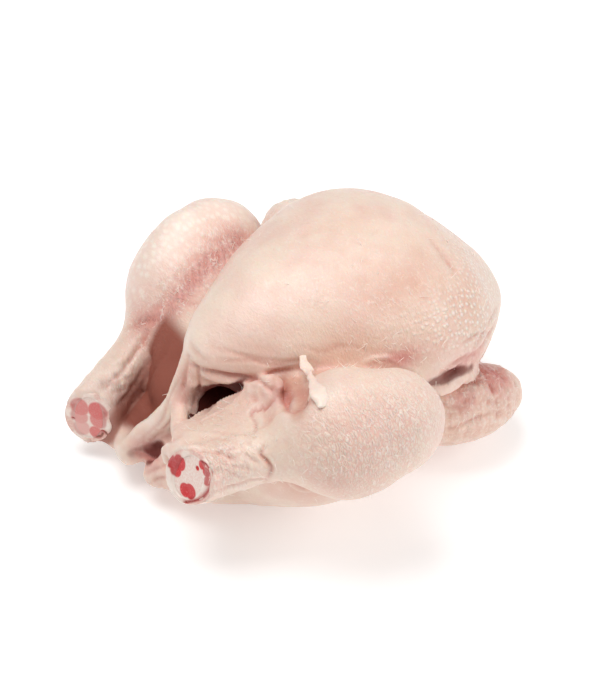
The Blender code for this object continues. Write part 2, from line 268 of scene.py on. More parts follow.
def closed_ring(name, rings):
    """Quads between neighbouring rings, and from the last ring back to the first."""
    count, sides = rings.shape[:2]
    here = np.arange(count * sides).reshape(count, sides)
    after = np.roll(here, -1, axis=1)
    faces = np.stack([here, after, np.roll(after, -1, 0), np.roll(here, -1, 0)], axis=2).reshape(-1, 4)
    return put_in_scene(name, rings.reshape(-1, 3), faces.tolist())


def ring_tube(name, path, radii, sides=16):
    """A round tube along a path that closes on itself: centre + radius * (cos t * outward + sin t *
    binormal)."""
    along = unit(np.roll(path, -1, 0) - np.roll(path, 1, 0))
    outward = unit(path - path.mean(0))
    outward = unit(outward - np.sum(outward * along, 1)[:, None] * along)
    binormal = np.cross(along, outward)
    turn = full_turn(sides)[None, :, None]
    spokes = np.cos(turn) * outward[:, None] + np.sin(turn) * binormal[:, None]
    return closed_ring(name, path[:, None] + radii[:, None, None] * spokes)


def along_leg(side, profile, start, end, radius):
    """Rows from one joint to the next, with the profile's shares of the way and of the radius."""
    start, end = (np.array(LEGS[side][joint]) for joint in (start, end))
    return [(*(start + (end - start) * share), half * radius, half * radius) for share, half in profile]


def hock_frame(side, inset=0.0):
    """Centre of the sawn face, the way it looks, and two directions across it, the second one upward."""
    centre = np.array(LEGS[side]["hock"])
    normal = unit(np.array(LEGS[side]["sawn"]))
    across = unit(np.cross([0, 0, 1.0], normal))
    return centre - inset * normal, normal, across, np.cross(normal, across)


def leg_axis(side):
    """The direction from the knee to the hock."""
    return unit(np.array(LEGS[side]["hock"]) - np.array(LEGS[side]["knee"]))


def slid_to_cut(side, spokes, inset=0.0):
    """Points beside the leg's middle line, moved along it until they lie on the sawn face."""
    centre, normal = hock_frame(side, inset)[:2]
    axis = leg_axis(side)
    return centre + spokes - (spokes @ normal / axis.dot(normal))[..., None] * axis


def hock_outline(side, turn, share, inset):
    """Where the round shank meets the slanting saw cut: centre + radius turned about the shank, slid along
    it."""
    across = hock_frame(side)[2]
    axis = leg_axis(side)
    first = unit(across - across.dot(axis) * axis)
    second = np.cross(axis, first)
    spokes = HOCK_RADIUS * share * (np.cos(turn)[:, None] * first + np.sin(turn)[:, None] * second)
    return slid_to_cut(side, spokes, inset)


def combine(obj, operation, others):
    """One Boolean with all the other objects, applied, after which they are deleted."""
    group = bpy.data.collections.new(operation)
    for other in others:
        group.objects.link(other)
    modifier = obj.modifiers.new(operation, "BOOLEAN")
    modifier.operation = operation
    modifier.operand_type = "COLLECTION"
    modifier.collection = group
    apply_modifiers(obj)
    for other in others:
        bpy.data.objects.remove(other, do_unlink=True)
    bpy.data.collections.remove(group)


def apply_modifiers(obj):
    """The object's mesh as its modifiers leave it, with the modifiers taken off."""
    shaped = obj.evaluated_get(bpy.context.evaluated_depsgraph_get())
    mesh = bpy.data.meshes.new_from_object(shaped)
    obj.modifiers.clear()
    obj.data = mesh


def saw_block(side):
    """A box whose near face is the sawn face, a little inside the rim of skin."""
    centre, normal, across, up = hock_frame(side, CUT_INSET)
    corners = [centre + SAW_REACH * (x * across + y * up + z * normal)
               for z in (0, 2) for y in (-1, 1) for x in (-1, 1)]
    faces = [(0, 2, 3, 1), (4, 5, 7, 6), (0, 1, 5, 4), (1, 3, 7, 5), (3, 2, 6, 7), (2, 0, 4, 6)]
    return put_in_scene("saw_" + side, np.array(corners), faces)


def closed_limbs(limb_rows):
    """One closed limb for each name and its rows."""
    return [closed_loft(name, limb_loft(rows)) for name, rows in limb_rows.items()]


rim_turn = full_turn(72)
rim_radii = RIM_RADIUS + 0.0005 * np.sin(3 * rim_turn + 1) + 0.0004 * np.sin(7 * rim_turn)
rims = [ring_tube("rim_" + side, hock_outline(side, rim_turn, RIM_SHARE, RIM_INSET), rim_radii)
        for side in LEGS]
skin = closed_loft("skin", oval_loft(BREAST_ROWS))
limbs = [closed_loft("back", oval_loft(BACK_ROWS)), closed_loft("rump", oval_loft(RUMP_ROWS))]
for side in LEGS:
    limbs += closed_limbs({
        "thigh_" + side: along_leg(side, THIGH_ROWS, "hip", "knee", THIGH_RADIUS),
        "drumstick_" + side: along_leg(side, DRUMSTICK_ROWS, "knee", "hock", DRUMSTICK_RADIUS),
        "wing_" + side: WINGS[side]})
combine(skin, "UNION", limbs)
combine(skin, "DIFFERENCE", closed_limbs({"cavity": CAVITY_ROWS, "pocket": POCKET_ROWS})
        + [saw_block(side) for side in LEGS])
combine(skin, "UNION", closed_limbs(FOLDS) + [closed_loft("flap", sheet_loft(FLAP_ROWS))] + rims)
combine(skin, "DIFFERENCE", closed_limbs({
    "second_opening": SECOND_OPENING_ROWS, "wing_crevice": WING_CREVICE_ROWS,
    "vent_corner": VENT_CORNER_ROWS}))
remesh = skin.modifiers.new("one skin", "REMESH")
remesh.mode = "VOXEL"
remesh.voxel_size = SKIN_VOXEL
apply_modifiers(skin)

# Where the skin is torn, bunched or wrinkled the mesh is made finer. Both lists give the middle and the half
# lengths of each place in mm: the first has its edges halved once, and the second once more.
FINE_PLACES = [
    ((-72, -16, 56), (24, 34, 26)), ((-82, -52, 62), (20, 17, 20)), ((-78, 44, 36), (20, 18, 24)),
    ((52, -58, 42), (30, 12, 26)), ((0, -54, 80), (34, 12, 12)), ((-84, 6, 22), (12, 20, 14)),
    ((-40, -26, 78), (28, 16, 10)), ((-24, 50, 74), (30, 12, 14)), ((54, -50, 80), (16, 14, 12)),
    ((-52, -80, 72), (20, 16, 18))]
FINEST_PLACES = [((-66, -12, 62), (19, 26, 15)), ((-66, -58, 62), (10, 14, 14))]
# How the hollow is told from the outer skin: the reach of one row along X in m, the squared shares of its
# oval between which the wall ends, and the stretch of X over which the vent goes over into the hollow.
ROW_REACH = 0.006
WALL_SHARES = (1.15, 1.45)
VENT_STRETCH = (-0.072, -0.060)


def near(points, centre, size):
    """1 at the centre, falling as a bell over the given size, which is one number or one for each axis."""
    return np.exp(-(((points - np.array(centre)) / size)**2).sum(1))


def step_up(values, low, high):
    """0 below low, 1 above high, with a smooth rise between."""
    share = np.clip((values - low) / (high - low), 0, 1)
    return share * share * (3 - 2 * share)


def in_cavity(points):
    """1 inside the hollow of the body cavity, past the vent, by the oval of each of its rows."""
    inside = np.zeros(len(points))
    for row in through(CAVITY_ROWS, 24):
        ahead = np.abs(points[:, 0] - row[0]) < ROW_REACH
        share = ((points[:, 1] - row[1]) / row[3])**2 + ((points[:, 2] - row[2]) / row[4])**2
        inside = np.maximum(inside, ahead * step_up(-share, -WALL_SHARES[1], -WALL_SHARES[0]))
    return inside * step_up(points[:, 0], *VENT_STRETCH)


def make_finer(obj, places):
    """Cuts each edge of the faces in the given places in two."""
    middles = read_all(obj.data.polygons, "center", 3)
    wanted = np.zeros(len(middles), bool)
    for centre, half in places:
        wanted |= (((middles * 1000 - centre) / np.array(half))**2).sum(1) < 1
    wanted &= (in_cavity(middles) < 0.5) & (middles[:, 2] > 0.004)
    obj.data.polygons.foreach_set("select", wanted)
    editable = bmesh.new()
    editable.from_mesh(obj.data)
    cut = list({edge for face in editable.faces if face.select for edge in face.edges})
    bmesh.ops.subdivide_edges(editable, edges=cut, cuts=1, use_grid_fill=True)
    editable.to_mesh(obj.data)
    editable.free()


make_finer(skin, FINE_PLACES)
make_finer(skin, FINEST_PLACES)

# Every vertex of the skin is then moved along its normal by creases, ridges, lumps and goose bumps, and gets
# the shares of colour that its place calls for, painted shade and painted highlight among them.
spots = read_all(skin.data.vertices, "co", 3)
edges = read_all(skin.data.edges, "vertices", 2, int)
neighbours = np.maximum(np.bincount(edges.ravel(), minlength=len(spots)), 1)[:, None]
SMOOTHING_ROUNDS = 10
HOLLOW_ROUNDS = 14


def spread(values, rounds):
    """Each vertex takes the mean of itself and the mean of its neighbours, a number of rounds over."""
    values = values.reshape(len(spots), -1)
    for _ in range(rounds):
        total = np.stack([np.bincount(edges[:, 0], values[edges[:, 1], k], len(spots))
                          + np.bincount(edges[:, 1], values[edges[:, 0], k], len(spots))
                          for k in range(values.shape[1])], axis=1)
        values = 0.5 * values + 0.5 * total / neighbours
    return values


def normals_of(obj, points):
    """Vertex normals of the object's mesh with its vertices at the given points."""
    obj.data.vertices.foreach_set("co", points.ravel())
    obj.data.update()
    return read_all(obj.data.vertex_normals, "vector", 3)


def lattice_noise(points, size, seed):
    """Smooth noise from -1 to 1: a value hashed from each corner of a cubic lattice, blended between
    corners."""
    at = points / size + seed * 17.31
    cell = np.floor(at).astype(np.int64)
    share = at - cell
    share = share * share * (3 - 2 * share)
    total = np.zeros(len(points))
    for corner in range(8):
        step = np.array([corner & 1, corner >> 1 & 1, corner >> 2 & 1])
        key = ((cell + step) * np.array([73856093, 19349663, 83492791])).sum(1) + seed * 982451653
        key = (key ^ (key >> 13)) * 1274126177 & 0x7FFFFFFF
        key = (key ^ (key >> 16)) & 0xFFFF
        weight = np.prod(np.where(step == 1, share, 1 - share), axis=1)
        total += weight * (key / 32767.5 - 1)
    return total


spots = spread(spots, SMOOTHING_ROUNDS)
facing = normals_of(skin, spots)
shape = spots.copy()


def line_on_skin(path):
    """A smooth line through a few points in mm, each first moved to the skin's nearest vertex."""
    path = np.array(path, float) / 1000
    snapped = np.array([shape[np.argmin(((shape - point)**2).sum(1))] for point in path])
    return through(snapped, 40)


def band(path, width):
    """A bell across the line, with a fade towards both of its ends."""
    line = line_on_skin(path)
    value = np.zeros(len(shape))
    reach = 4 * width
    close = np.flatnonzero(np.all((shape > line.min(0) - reach) & (shape < line.max(0) + reach), axis=1))
    gaps = np.linalg.norm(shape[close][:, None] - line[None], axis=2)
    share = gaps.argmin(1) / (len(line) - 1)
    value[close] = np.exp(-(gaps.min(1) / width)**2) * np.sin(np.pi * np.clip(share, 0.04, 0.96))**0.5
    return value


# Each crease or ridge is its width and depth in mm, how strongly it is coloured, and a few points that it
# passes: a crease towards red with painted shade, a ridge towards pale. A depth below 0 stands up from the
# skin.
CREASES = [
    (1.5, 2.1, 1.0, [
        (-65, -1, 72), (-60, -12, 73), (-55, -18, 72), (-49, -23, 72), (-41, -29, 75), (-32, -35, 77)]),
    (1.6, -1.0, 0.0, [(-63, -7, 70), (-57, -15, 69), (-50, -23, 70), (-43, -29, 72)]),
    (0.9, 0.45, 0.4, [(-59, -13, 79), (-49, -22, 80), (-40, -28, 78), (-31, -34, 80)]),
    (0.9, 0.40, 0.3, [(-55, -13, 84), (-45, -23, 81), (-38, -28, 80), (-30, -34, 80)]),
    (0.9, 0.35, 0.3, [(-59, -8, 84), (-51, -19, 82), (-43, -26, 79)]),
    (0.9, 0.35, 0.2, [(-29, -32, 86), (-23, -37, 84), (-13, -42, 85), (-2, -49, 82)]),
    (1.2, 0.60, 0.3, [(-64, 2, 81), (-64, -3, 80), (-62, -9, 78)]),
    (1.3, -1.1, 0.0, [
        (-86, -13, 43), (-79, -11, 47), (-68, -13, 54), (-60, -17, 60), (-51, -24, 67), (-45, -33, 72)]),
    (1.0, 1.1, 0.8, [(-61, -40, 69), (-58, -39, 70), (-53, -42, 71), (-47, -43, 73)]),
    (0.9, 0.6, 0.5, [(-60, -40, 69), (-62, -46, 69), (-66, -51, 69)]),
    (0.9, 0.9, 0.6, [(-52, -24, 67), (-47, -27, 71), (-46, -38, 73), (-42, -38, 73)]),
    (2.0, 2.6, 0.9, [(-40, -33, 73), (-45, -44, 74), (-52, -52, 75)]),
    (1.2, -0.5, 0.0, [(-83, -20, 53), (-70, -21, 60), (-61, -26, 65)]),
    (1.5, -0.5, 0.0, [(-83, -26, 57), (-77, -38, 63), (-72, -50, 67)]),
    (1.0, 0.7, 0.3, [(-92, -36, 61), (-89, -42, 64), (-84, -49, 66), (-75, -54, 68)]),
    (1.2, 1.2, 0.8, [(-66, 1, 76), (-68, 0, 63), (-70, 1, 52), (-72, 4, 42)]),
    (1.0, 0.8, 0.6, [(-65, -1, 74), (-64, -5, 71), (-64, -6, 63), (-67, -6, 56), (-69, -5, 49)]),
    (1.0, 1.3, 0.9, [(-68, -61, 69), (-70, -62, 67), (-69, -65, 65), (-69, -67, 61), (-70, -65, 54)]),
    (0.9, 0.5, 0.4, [(-91, -57, 54), (-83, -60, 55), (-75, -63, 57), (-69, -66, 56)]),
    (1.0, -0.8, 0.0, [(-68, -64, 52), (-58, -64, 44), (-53, -68, 41), (-48, -78, 42)]),
    (0.8, 0.5, 0.3, [(-84, -49, 66), (-82, -53, 66), (-79, -58, 65)]),
    (0.8, 0.5, 0.3, [(-86, -56, 62), (-82, -60, 60), (-76, -63, 57)]),
    (0.8, 0.5, 0.3, [(-75, -54, 68), (-75, -59, 66), (-72, -63, 64)]),
    (0.8, 0.4, 0.3, [(-84, -55, 64), (-79, -60, 63), (-74, -63, 61)]),
    (1.4, 1.0, 0.7, [(-62, 61, 50), (-58, 57, 54), (-53, 53, 57), (-51, 46, 60)]),
    (1.4, 0.9, 0.2, [(-55, 51, 54), (-63, 49, 47), (-74, 46, 41), (-86, 42, 38)]),
    (1.2, 0.9, 0.3, [(-55, 42, 55), (-61, 43, 44), (-70, 41, 35), (-82, 37, 31)]),
    (1.2, 0.8, 0.3, [(-52, 36, 59), (-58, 34, 52), (-64, 38, 37)]),
    (0.9, 0.4, 0.3, [(-18, 61, 83), (-11, 57, 81), (-3, 54, 78)]),
    (0.9, 0.4, 0.5, [(-44, 50, 67), (-41, 42, 69), (-38, 36, 70)]),
    (1.4, 1.6, 1.0, [(-87, 13, 22), (-84, 7, 25), (-80, 2, 29)]),
    (0.9, 0.7, 0.2, [(-88, 4, 17), (-85, -2, 23), (-80, -8, 28)]),
    (0.9, 0.7, 0.2, [(-88, 1, 14), (-86, -4, 19), (-80, -12, 24)]),
    (1.6, -1.5, 0.0, [(29, -60, 52), (32, -62, 60), (44, -57, 55), (52, -55, 52), (53, -58, 49)]),
    (1.2, 0.8, 0.6, [(33, -57, 48), (40, -58, 50), (48, -59, 49), (54, -61, 46)]),
    (1.2, 0.7, 0.3, [(31, -63, 32), (40, -66, 35), (51, -67, 35)]),
    (1.0, 0.8, 0.4, [(71, -44, 65), (64, -51, 68), (54, -56, 68), (44, -60, 68)]),
    (0.9, 0.5, 0.2, [(79, -36, 66), (69, -45, 71), (59, -52, 73), (47, -59, 72)]),
    (0.9, 0.5, 0.2, [(37, -61, 76), (45, -59, 76), (59, -53, 69)]),
    (1.0, 0.8, 0.4, [(24, -62, 67), (35, -62, 70), (47, -60, 66)]),
    (0.9, -0.5, 0.0, [(-7, -49, 78), (1, -52, 79), (9, -56, 74), (17, -60, 69)]),
    (2.0, 0.6, 0.3, [(48, -23, 105), (47, -30, 103), (48, -35, 100), (48, -40, 98)]),
    (0.8, -0.4, 0.7, [(50, -26, 103), (53, -27, 101), (55, -29, 100), (55, -33, 98)]),
    (0.8, -0.4, 0.7, [(45, -27, 105), (48, -31, 102), (49, -36, 99)]),
    (0.8, -0.5, 0.9, [(59, -53, 72), (50, -57, 75), (47, -59, 74), (42, -60, 75), (40, -61, 70)]),
    (0.8, -0.5, 0.9, [(53, -56, 71), (47, -59, 70), (44, -60, 69)]),
    (0.9, -0.6, 0.8, [(-9, -50, 79), (-3, -51, 80), (4, -53, 79)]),
    (0.8, 0.7, 0.8, [(-64, 0, 68), (-69, 1, 54), (-73, 3, 43), (-79, 9, 31)]),
    (0.8, 0.5, 0.5, [(-66, 2, 66), (-71, 4, 53), (-76, 7, 42), (-82, 14, 30)]),
    (1.8, 1.6, 1.0, [(-41, -37, 72), (-47, -46, 74), (-52, -54, 78), (-53, -62, 83)]),
    (1.4, 0.6, 1.0, [(-53, -58, 82), (-51, -64, 86), (-47, -69, 89)]),
]
FAR_CREASE = [
    (-4, 56, 80), (-12, 54, 79), (-22, 51, 77), (-32, 48, 74), (-42, 46, 69), (-50, 48, 62), (-57, 55, 56)]
CREASES += [(0.8, -0.45, 0.9, [spot + (3, 6, 3), spot, spot + (-3, -5, -5)])
            for spot in through(FAR_CREASE, 16)[1:12]]
# Every depth is multiplied by this, since the width of a bell takes some of its depth away.
CREASE_GAIN = 1.4
lift = np.zeros(len(shape))
crease_red_and_shade = np.zeros(len(shape))
ridge_white = np.zeros(len(shape))
for width, depth, redness, path in CREASES:
    bell = band(path, width / 1000)
    lift -= CREASE_GAIN * depth / 1000 * bell
    if depth > 0:
        crease_red_and_shade = np.maximum(crease_red_and_shade, redness * bell)
    else:
        ridge_white = np.maximum(ridge_white, redness * bell)

# Loose skin bunches on the shanks, the belly flap, the lip of the vent and the wings. Each spot is its share,
# its middle and its size, both in mm.
BUNCHED_SPOTS = [
    (1.0, (-80, -54, 62), (13, 11, 13)), (1.0, (-78, 44, 36), (14, 12, 14)),
    (1.4, (-62, -5, 60), (6, 6, 9)), (1.5, (52, -58, 38), (26, 10, 20)),
    (0.5, (-52, -82, 72), (18, 14, 16)), (1.0, (40, 72, 64), (20, 14, 16)),
    (0.8, (-90, -23, 52), (5, 5, 8)), (0.7, (-50, -36, 72), (10, 10, 8)), (0.8, (48, 68, 44), (24, 14, 20)),
    (0.5, (-82, 4, 24), (10, 16, 12))]
BULGE_SPOTS = [(0.003, (-36, 73, 73), (18, 12, 16)), (0.005, (-20, 77, 86), (15, 11, 12))]


def bells(points, given):
    """One row for each given spot: its share times its bell at every point."""
    return np.array([share * near(points, centre, size) for share, centre, size in given])


def shade_smooth(obj):
    obj.data.polygons.foreach_set("use_smooth", np.ones(len(obj.data.polygons), bool))


# Soft lumps, then sharp folds where a noise passes 0, then bulges and broad unevenness, all in m.
mm = shape * 1000
bunched = np.clip(bells(mm, BUNCHED_SPOTS).sum(0), 0, 1.6)
lift += bunched * (0.0007 * lattice_noise(shape, 0.0045, 3) + 0.0004 * lattice_noise(shape, 0.0025, 4))
lift += 0.0008 * bunched * (1 - 2 * np.abs(lattice_noise(shape, 0.0055, 7)))
lift += 0.0005 * bunched * (1 - 2 * np.abs(lattice_noise(shape * [1.4, 0.9, 0.9], 0.0034, 8)))
lift += bells(mm, BULGE_SPOTS).sum(0)
lift += 0.0006 * lattice_noise(shape, 0.016, 5) + 0.00025 * lattice_noise(shape, 0.006, 6)
moved = shape + lift[:, None] * facing
moved[:, 2] = np.maximum(moved[:, 2], 0)
facing = normals_of(skin, moved)
shade_smooth(skin)
hollow = ((spread(moved, HOLLOW_ROUNDS) - moved) * facing).sum(1) * 1000
mm = moved * 1000
inside = in_cavity(moved)


def paint_share(obj, name, values):
    """A named share of 0 to 1 at every vertex, for the material to read."""
    shares = obj.data.attributes.new(name, "FLOAT", "POINT")
    shares.data.foreach_set("value", np.clip(values, 0, 1).astype(np.float32))


def gap_to_line(points, line):
    """Distance in mm from each point to the nearest of the line's points."""
    return np.min([np.linalg.norm(points - spot, axis=1) for spot in line], axis=0)


def off_path(rows, count=30):
    """Distance in mm from each vertex of the skin to the path of the given rows."""
    return gap_to_line(mm, through(rows, count)[:, :3] * 1000)


# The shadowed side of the right shank, which is given painted shade, its direction square to the shank, the
# edge of the pocket in mm, along which painted shade runs, and how strongly a hollow of 1 mm is darkened with
# painted shade and a hump of 1 mm lightened with painted highlight.
SHANK_INNER_SIDE = (0.437, -0.717, -0.430)
POCKET_EDGE = [(-40, -35, 73), (-45, -43, 75), (-50, -52, 79), (-53, -60, 84), (-50, -66, 87)]
HOLLOW_GAIN = 1.3
RIDGE_SPOTS = [
    (1.0, (-82, -56, 58), (14, 14, 14)), (1.0, (-84, 42, 38), (14, 14, 14)),
    (0.9, (-24, -96, 84), (40, 20, 24)), (0.7, (38, -62, 52), (12, 8, 5)),
    (0.5, (68, -40, 86), (18, 22, 18))]
RAW_SPOTS = [
    (0.9, (-84, 8, 24), (8, 9, 6)), (1.0, (60, -56, 45), (12, 10, 8)), (0.7, (38, -64, 46), (6, 5, 7)),
    (0.9, (36, -58, 66), (12, 6, 5)), (0.8, (6, -56, 78), (13, 6, 5)), (0.5, (-70, -1, 58), (5, 4, 12)),
    (0.55, (-47, -44, 76), (7, 8, 6)), (0.25, (-58, 52, 48), (12, 10, 14)),
    (0.3, (40, 70, 56), (16, 8, 10))]
# Spots of the blush share, partly the skin's own pinker tone and partly painted shade, as above the left leg
# under the edge of the breast and low on the left leg.
BLUSH_AND_SHADE_SPOTS = [
    (0.9, (-14, -41, 86), (26, 10, 9)), (0.6, (45, -48, 88), (16, 12, 12)),
    (0.25, (-52, -90, 68), (16, 16, 16)), (0.4, (-50, -66, 40), (26, 16, 12)),
    (0.3, (-30, 62, 70), (26, 14, 20)), (0.8, (52, -62, 30), (26, 10, 10)),
    (0.5, (60, -45, 62), (22, 14, 8)), (0.5, (-45, -20, 80), (16, 10, 6)),
    (0.4, (20, 0, 110), (16, 12, 10)), (0.8, (26, -38, 100), (26, 18, 14))]
GOOSE_SPOTS = [
    (1.0, (72, -34, 82), (24, 34, 22)), (0.9, (38, -53, 86), (26, 14, 13)),
    (1.0, (50, -52, 80), (16, 12, 10)), (0.9, (52, -58, 36), (26, 12, 20)),
    (0.6, (44, 70, 52), (26, 16, 20)), (0.4, (70, 30, 80), (24, 34, 22))]
DOT_SPOTS = [(1.0, (-16, 66, 82), (34, 24, 22)), (1.0, (-36, 66, 66), (28, 24, 22))]
NET_SPOTS = [
    (1.0, (-44, -88, 72), (26, 18, 26)), (1.0, (-84, -52, 62), (12, 12, 14)),
    (0.6, (-78, 44, 36), (14, 12, 14)), (0.6, (-20, -92, 74), (20, 14, 20)),
    (0.8, (52, -58, 36), (28, 12, 22)), (0.6, (-66, -18, 60), (16, 20, 12)),
    (0.4, (-10, -88, 86), (30, 20, 16)), (0.3, (10, -45, 95), (60, 30, 25))]

knee, hock = (np.array(LEGS["right"][joint]) * 1000 for joint in ("knee", "hock"))
off_shank = gap_to_line(mm, knee + (hock - knee) * np.linspace(0.3, 1.1, 40)[:, None])
off_pocket = off_path(POCKET_ROWS)
off_far_crease = gap_to_line(mm, through(FAR_CREASE, 30))
shaded = step_up(-mm[:, 0], 44, 52) * step_up(mm[:, 1], 8, 14) * step_up(-mm[:, 1], -50, -44) \
    * step_up(-mm[:, 2], -70, -60) * step_up(off_shank, 12.0, 14.5) \
    * step_up(off_path(FOLDS["vent_fold"], 40), 6.0, 8.0) * step_up(mm[:, 0] + 0.5 * mm[:, 2], -76, -66)
shank_shade = step_up(-off_shank, -17, -14.5) * step_up((mm - knee) @ np.array(SHANK_INNER_SIDE), 2.5, 9.0) \
    * step_up(-mm[:, 0], 40, 56)
pocket_shade = np.exp(-(gap_to_line(mm, through(POCKET_EDGE, 30)) / 2.2)**2)
# Painted shade: hollows and creases are darkened towards red by how deep they lie, together with the redder
# skin in the creases.
paint_share(skin, "crease", np.maximum(hollow * HOLLOW_GAIN, crease_red_and_shade))
# Painted highlight: humps and ridges are made paler by how far they stand out. The ridge spots and the raised
# folds make their places paler still.
paint_share(skin, "ridge", np.maximum.reduce([-hollow * HOLLOW_GAIN, ridge_white, *bells(mm, RIDGE_SPOTS)]))
paint_share(skin, "shaded", np.maximum.reduce([
    shaded, 0.85 * shank_shade, 0.75 * pocket_shade, 0.15 * step_up(-off_pocket, -7.5, -5.5)]))
# Painted shade: the insides of the cavity, the wing crevice, the second opening and the vent corner are
# painted near-black red, red flesh darkened as if in shade.
paint_share(skin, "inside", np.maximum.reduce([
    inside, 0.8 * step_up(-off_path(WING_CREVICE_ROWS), -4.2, -2.8),
    0.95 * step_up(-off_path(SECOND_OPENING_ROWS), -5.4, -3.8),
    0.95 * step_up(-off_path(VENT_CORNER_ROWS), -4.8, -3.6)]))
paint_share(skin, "raw", spread(np.maximum.reduce([
    0.7 * np.exp(-(off_far_crease / 7)**2), *bells(mm, RAW_SPOTS)]), 3))
# Painted shade with pink tone: the underside near the table, the pocket and the spots are darkened towards
# pinkish brown.
paint_share(skin, "blush_and_shade", np.maximum.reduce([
    0.9 * step_up(-off_pocket, -8.5, -5.5), 0.6 * step_up(-mm[:, 2], -26, -6), *bells(mm, BLUSH_AND_SHADE_SPOTS)]))
paint_share(skin, "goose", bells(mm, GOOSE_SPOTS).sum(0))
paint_share(skin, "dots", np.clip(bells(mm, DOT_SPOTS).sum(0), 0, 1)
            * step_up(mm[:, 1], 34, 48) * step_up(mm[:, 2], 50, 66))
paint_share(skin, "net", bells(mm, NET_SPOTS).sum(0) + 0.8 * np.exp(-(off_far_crease / 12)**2))


def feed(tree, socket, value):
    """Links a socket to an input, or sets the input's own value. A colour of three numbers is made opaque."""
    if isinstance(value, bpy.types.NodeSocket):
        tree.links.new(value, socket)
    elif socket.type == "RGBA":
        socket.default_value = (*value, 1)
    else:
        socket.default_value = value


def add_node(tree, kind, **settings):
    """A new node with its properties set and its inputs fed."""
    made = tree.nodes.new(kind)
    for name, value in settings.items():
        if name in made.bl_rna.properties:
            setattr(made, name, value)
        else:
            feed(tree, made.inputs[name.replace("_", " ").title()], value)
    return made


def share_of(tree, name):
    return add_node(tree, "ShaderNodeAttribute", attribute_name=name).outputs["Fac"]


def calculate(tree, operation, *values):
    """One Math node whose inputs are sockets or numbers."""
    made = add_node(tree, "ShaderNodeMath", operation=operation)
    for socket, value in zip(made.inputs, values):
        feed(tree, socket, value)
    return made.outputs[0]


def times(tree, first, second):
    return calculate(tree, "MULTIPLY", first, second)


def rest_of(tree, share):
    """1 less the share."""
    return calculate(tree, "SUBTRACT", 1.0, share)


def blend_colour(tree, share, below, above):
    """One Mix node between two colours, each a socket or three numbers."""
    made = add_node(tree, "ShaderNodeMix", data_type="RGBA")
    for name, value in (("Factor", share), ("A", below), ("B", above)):
        feed(tree, made.inputs[name], value)
    return made.outputs["Result"]


def ramp_up(tree, value, low, high):
    """0 below low, 1 above high."""
    return add_node(tree, "ShaderNodeMapRange", interpolation_type="SMOOTHSTEP", value=value,
                    from_min=low, from_max=high).outputs["Result"]


def millimetres(tree, stretch=(1, 1, 1), turn=(0, 0, 0)):
    """Object coordinates in mm, stretched and turned."""
    return add_node(tree, "ShaderNodeMapping", vector=tree.nodes.new("ShaderNodeTexCoord").outputs["Object"],
                    scale=[1000 * share for share in stretch],
                    rotation=[math.radians(angle) for angle in turn]).outputs["Vector"]


def noise(tree, vector, scale, detail=2.0, roughness=0.5, distortion=0.0):
    return add_node(tree, "ShaderNodeTexNoise", vector=vector, scale=scale, detail=detail,
                    roughness=roughness, distortion=distortion).outputs["Fac"]


def cells(tree, vector, scale, feature="F1", randomness=1.0):
    return add_node(tree, "ShaderNodeTexVoronoi", vector=vector, scale=scale, feature=feature,
                    randomness=randomness).outputs["Distance"]


def wandering(tree, vector, scale, reach):
    """The coordinates pushed about by a noise, so that a pattern on them runs unevenly."""
    push = add_node(tree, "ShaderNodeTexNoise", vector=vector, scale=scale)
    centred = add_node(tree, "ShaderNodeVectorMath", operation="SUBTRACT")
    added = add_node(tree, "ShaderNodeVectorMath", operation="MULTIPLY_ADD")
    for node, values in ((centred, (push.outputs["Color"], (0.5, 0.5, 0.5))),
                         (added, (centred.outputs["Vector"], (reach, reach, reach), vector))):
        for socket, value in zip(node.inputs, values):
            feed(tree, socket, value)
    return added.outputs["Vector"]


def contour_lines(tree, vector, scale, width, detail, distortion):
    """Thin winding lines: 1 where a noise passes its middle value, 0 a little way off it."""
    off_middle = calculate(tree, "SUBTRACT", noise(tree, vector, scale, detail, 0.55, distortion), 0.5)
    return rest_of(tree, ramp_up(tree, calculate(tree, "ABSOLUTE", off_middle), 0.0, width))


def new_material(name):
    """A material with its node tree and its surface shader."""
    made = bpy.data.materials.new(name)
    made.use_nodes = True
    return made, made.node_tree, made.node_tree.nodes["Principled BSDF"]


def add_relief(tree, surface, height, strength, distance):
    """Bends the surface's normals by a height of 0 to 1 over the given distance in m."""
    bump = add_node(tree, "ShaderNodeBump", strength=strength, distance=distance)
    feed(tree, bump.inputs["Height"], height)
    feed(tree, surface.inputs["Normal"], bump.outputs["Normal"])


# The relief of poultry skin: goose bumps where the feathers sat, wrinkles that run round the limb they are
# on, pale winding strokes, and a fine moist grain. Patterns repeat about once in 1 / number mm.
GOOSE_BUMPS_PER_MM = 0.42
FOLDS_PER_MM = 0.50
SMALL_FOLDS_PER_MM = 1.10
STROKES_PER_MM = 0.34
GRAIN_PER_MM = 0.8
relief = bpy.data.node_groups.new("skin relief", "ShaderNodeTree")
for socket in ("Goose", "Net"):
    relief.interface.new_socket(socket, in_out="INPUT", socket_type="NodeSocketFloat")
for socket in ("Height", "Bumps", "Wrinkles", "Grain", "Strokes"):
    relief.interface.new_socket(socket, in_out="OUTPUT", socket_type="NodeSocketFloat")
given = relief.nodes.new("NodeGroupInput").outputs
place = wandering(relief, millimetres(relief), 0.25, 1.6)
bumps = rest_of(relief, ramp_up(relief, cells(relief, place, GOOSE_BUMPS_PER_MM, "F1", 0.5), 0.12, 0.60))
bumps = times(relief, bumps, given["Goose"])
round_limb = wandering(relief, millimetres(relief, (1.6, 0.6, 0.65), (0, 0, 12)), 0.22, 3.0)
folds = cells(relief, round_limb, FOLDS_PER_MM, "DISTANCE_TO_EDGE")
small_folds = cells(relief, round_limb, SMALL_FOLDS_PER_MM, "DISTANCE_TO_EDGE")
grooves = rest_of(relief, times(
    relief, ramp_up(relief, folds, 0.0, 0.16), ramp_up(relief, small_folds, -0.1, 0.14)))
